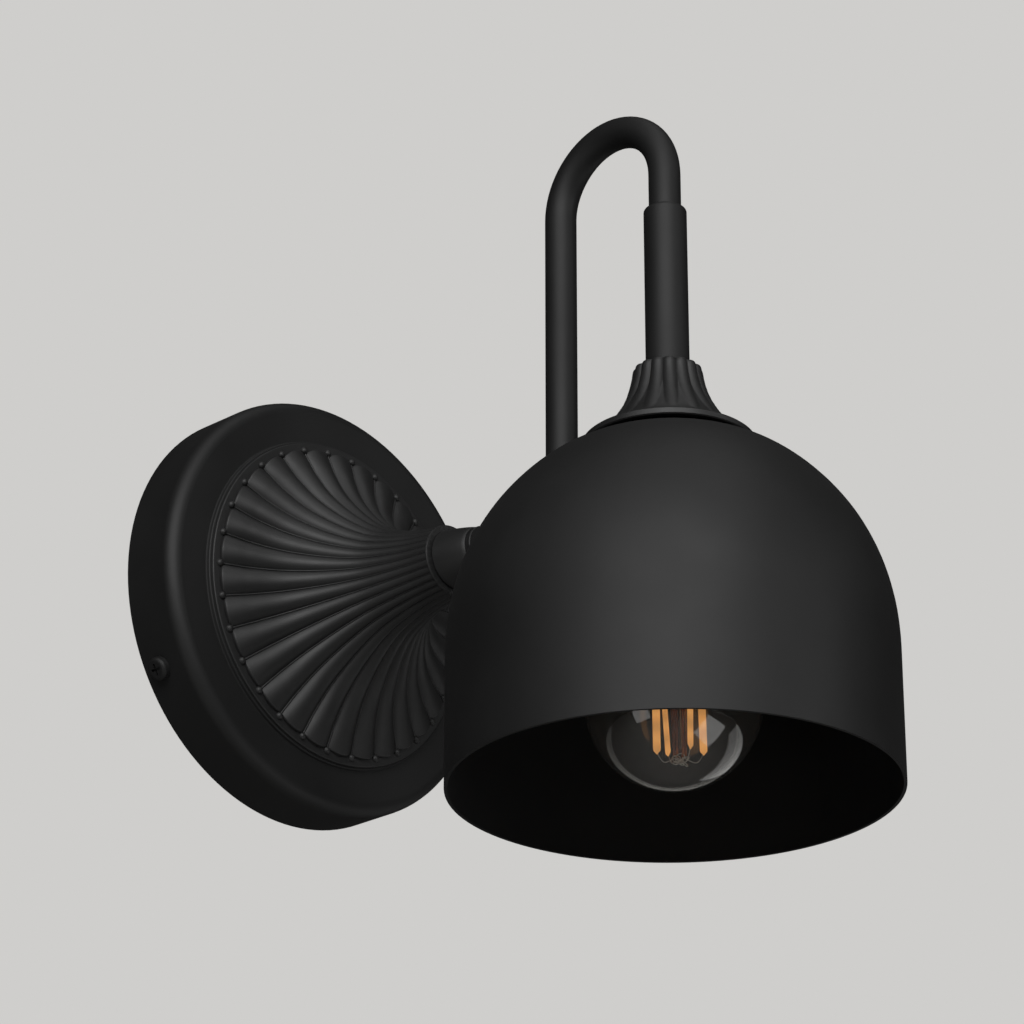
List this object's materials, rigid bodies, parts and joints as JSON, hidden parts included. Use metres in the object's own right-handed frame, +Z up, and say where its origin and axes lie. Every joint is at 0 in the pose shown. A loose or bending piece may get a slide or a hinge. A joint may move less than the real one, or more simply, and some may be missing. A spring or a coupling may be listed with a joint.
{
  "type": "hanging pendant wall sconce",
  "caption": "Black wall sconce: round canopy, fluted trumpet neck, shepherd's-crook tube, fluted cap and domed metal shade hanging over a clear filament bulb.",
  "frame": {"origin": "centre of the canopy's back, on the wall", "axes": "+Z up, -Y out of the wall into the room, +X to the right seen from the room"},
  "size_m": [0.167, 0.2797, 0.2742],
  "materials": {
    "black_metal": "satin black powder coat",
    "shade_metal": "satin black powder coat",
    "zinc_steel": "zinc plated",
    "nipple_steel": "zinc plated thread",
    "brass": "plain",
    "phenolic": "moulded phenolic",
    "ceramic": "unglazed",
    "polyamide": "moulded",
    "fibre": "fibre",
    "live_pvc": "wire insulation",
    "neutral_pvc": "wire insulation",
    "earth_pvc": "wire insulation",
    "clear_glass": "clear",
    "stem_glass": "clear",
    "black_glass": "vitrite",
    "cap_metal": "rolled",
    "solder": "tin solder",
    "filament": "phosphor-coated strip",
    "board": "circuit board"
  },
  "bodies": {
    "wall_light": {"wall_bracket": "zinc_steel", "earth_screw": "brass", "terminal_block": "polyamide", "terminal_screws": "zinc_steel", "terminal_fixing": "zinc_steel", "canopy": "black_metal", "canopy_screws": "black_metal", "trumpet": "black_metal", "tie_nipple": "nipple_steel", "tie_washer": "zinc_steel", "tie_nut": "zinc_steel", "neck_collar": "black_metal", "lock_ring": "black_metal", "arm_ferrule": "black_metal", "arm_tube": "black_metal", "arm_sleeve": "black_metal", "live_lead": "live_pvc", "neutral_lead": "neutral_pvc", "earth_lead": "earth_pvc", "lamp_nipple": "nipple_steel", "shade_cap": "black_metal", "cap_gasket": "fibre", "shade": "shade_metal", "shade_washer": "zinc_steel", "shade_nut": "zinc_steel", "holder_dome": "phenolic", "holder_skirt": "phenolic", "holder_insert": "ceramic", "holder_shell": "brass", "holder_contact": "brass", "holder_screws": "brass"},
    "bulb_travel": {"bulb_contact": "solder"},
    "bulb": {"bulb_glass": "clear_glass", "bulb_cap": "cap_metal", "bulb_insulator": "black_glass", "bulb_driver": "board", "bulb_stem": "stem_glass", "bulb_filaments": "filament", "bulb_supports": "cap_metal"}
  },
  "joints": [
    {"name": "bulb_drop", "type": "slide", "parent": "wall_light", "child": "bulb_travel", "axis": [0, 0, -1], "range_m": [0, 0.0109]},
    {"name": "bulb_turn", "type": "hinge", "parent": "bulb_travel", "child": "bulb", "pos_m": [0, -0.1997, -0.06], "axis": [0, 0, -1], "range_deg": [0, 1080]}
  ],
  "couplings": [
    {"joint": "bulb_drop", "follows": "bulb_turn", "m_per_rad": 0.00057757}
  ]
}
